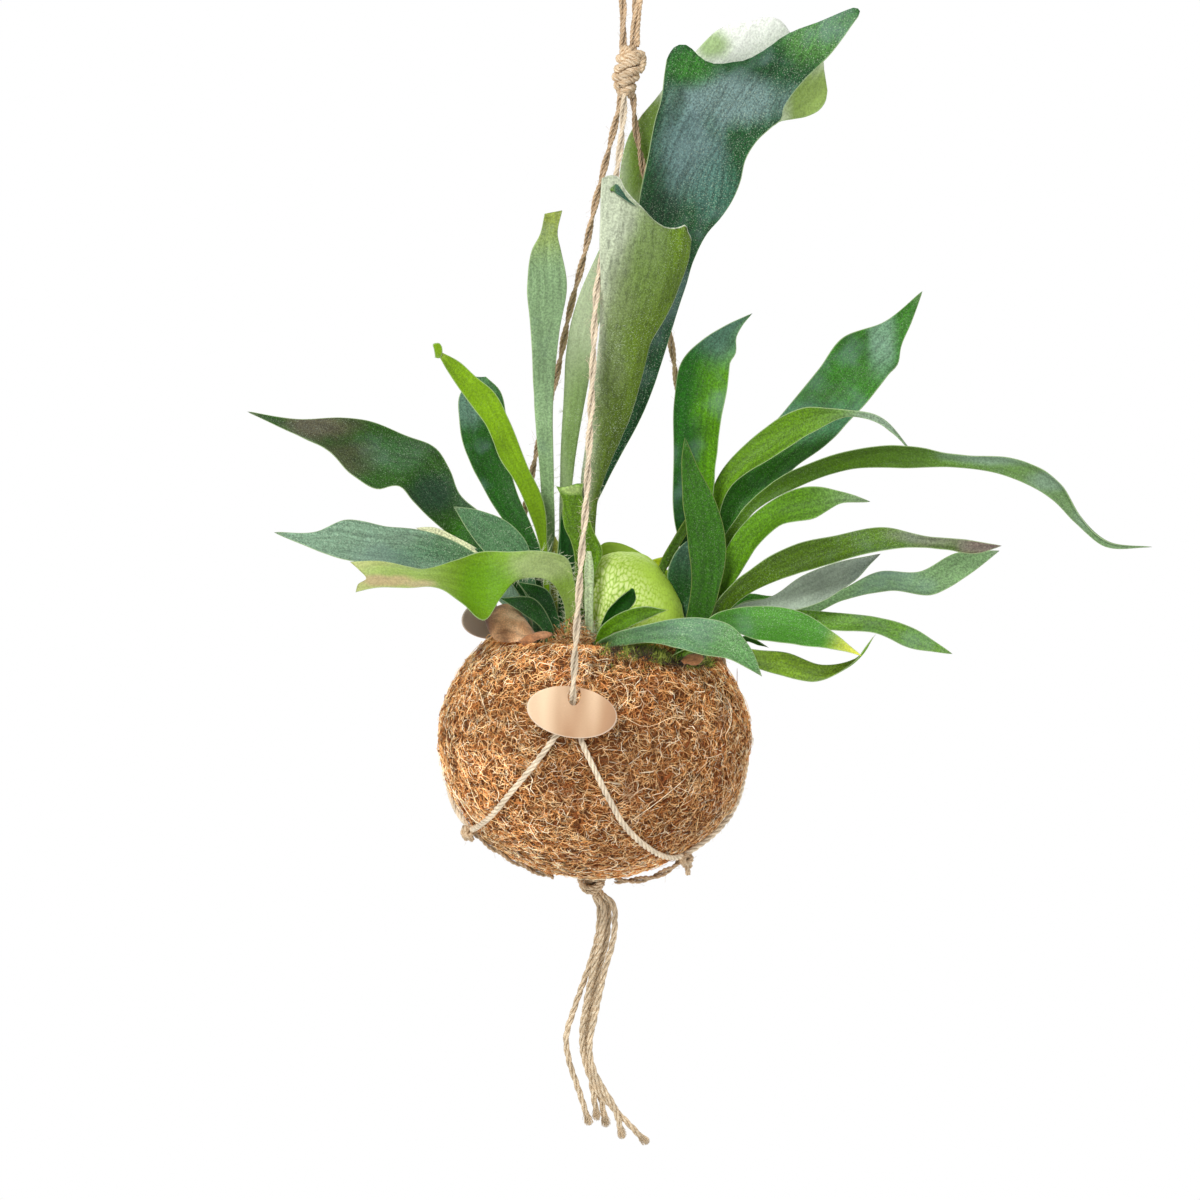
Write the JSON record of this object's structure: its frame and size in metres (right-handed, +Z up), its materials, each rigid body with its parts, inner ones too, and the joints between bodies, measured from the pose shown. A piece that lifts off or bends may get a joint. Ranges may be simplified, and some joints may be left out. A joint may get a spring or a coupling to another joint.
{
  "type": "hanging moss ball house plant",
  "caption": "Fern with long strap-shaped fronds growing in a squat ball of coconut fibre, hung in a knotted jute cord hanger with oval tags and loose cord ends.",
  "frame": {"origin": "the inside top of the hanger's loop, where a hook carries it", "axes": "+Z up along the hanging direction; +X to the right and +Y away from the viewer who faces the front tag"},
  "size_m": [0.4901, 0.1771, 0.6702],
  "materials": {
    "coir": "matted coconut fibre, matte",
    "soil": "packed growing mix, matte",
    "moss": "living moss, matte",
    "dark_leaf": "leathery leaf with a faint bloom",
    "pale_leaf": "leathery leaf, pale felted underside",
    "vivid_leaf": "young leathery leaf",
    "lime_leaf": "young shield leaf with a raised net of veins",
    "dry_leaf": "dry papery shield leaf",
    "jute": "twisted jute cord, matte",
    "tag": "smooth tan card, bare"
  },
  "bodies": {
    "root": {"coir_shell": "coir", "root_ball": "soil", "moss_top": "moss", "frond_tall_dark": "dark_leaf", "frond_pale_funnel": "pale_leaf", "frond_back_pale": "pale_leaf", "frond_narrow_upright": "pale_leaf", "frond_vivid": "vivid_leaf", "frond_dark_round": "dark_leaf", "frond_far_left": "dark_leaf", "frond_left_low": "dark_leaf", "frond_short_left": "dark_leaf", "frond_arching": "vivid_leaf", "frond_curled_young": "vivid_leaf", "frond_bud": "vivid_leaf", "frond_small_dark": "dark_leaf", "frond_small_bright": "vivid_leaf", "frond_front_right": "dark_leaf", "frond_upright_right": "dark_leaf", "frond_narrow_front": "dark_leaf", "frond_right_big": "dark_leaf", "frond_bright_right": "vivid_leaf", "frond_long_arc": "dark_leaf", "frond_right_mid": "dark_leaf", "frond_right_long": "dark_leaf", "frond_grey": "dark_leaf", "frond_right_back": "dark_leaf", "frond_right_behind": "dark_leaf", "frond_broad": "dark_leaf", "frond_right_low": "vivid_leaf", "frond_right_lowest": "vivid_leaf", "shield_green": "lime_leaf", "shield_back": "lime_leaf", "shield_brown": "dry_leaf", "hang_loop_cord": "jute", "top_knot": "jute", "leg_front": "jute", "leg_back_left": "jute", "leg_back_right": "jute", "strand_front_left": "jute", "strand_front_right": "jute", "strand_left_front": "jute", "strand_left_back": "jute", "strand_right_front": "jute", "strand_right_back": "jute", "ring_knot_left": "jute", "ring_knot_right": "jute", "ring_knot_back": "jute", "bottom_knot": "jute", "under_left": "jute", "under_right": "jute", "under_back": "jute", "tassel_1": "jute", "tassel_2": "jute", "tassel_3": "jute", "tassel_4": "jute", "tassel_5": "jute", "tag_front": "tag", "tag_back": "tag"}
  },
  "joints": []
}
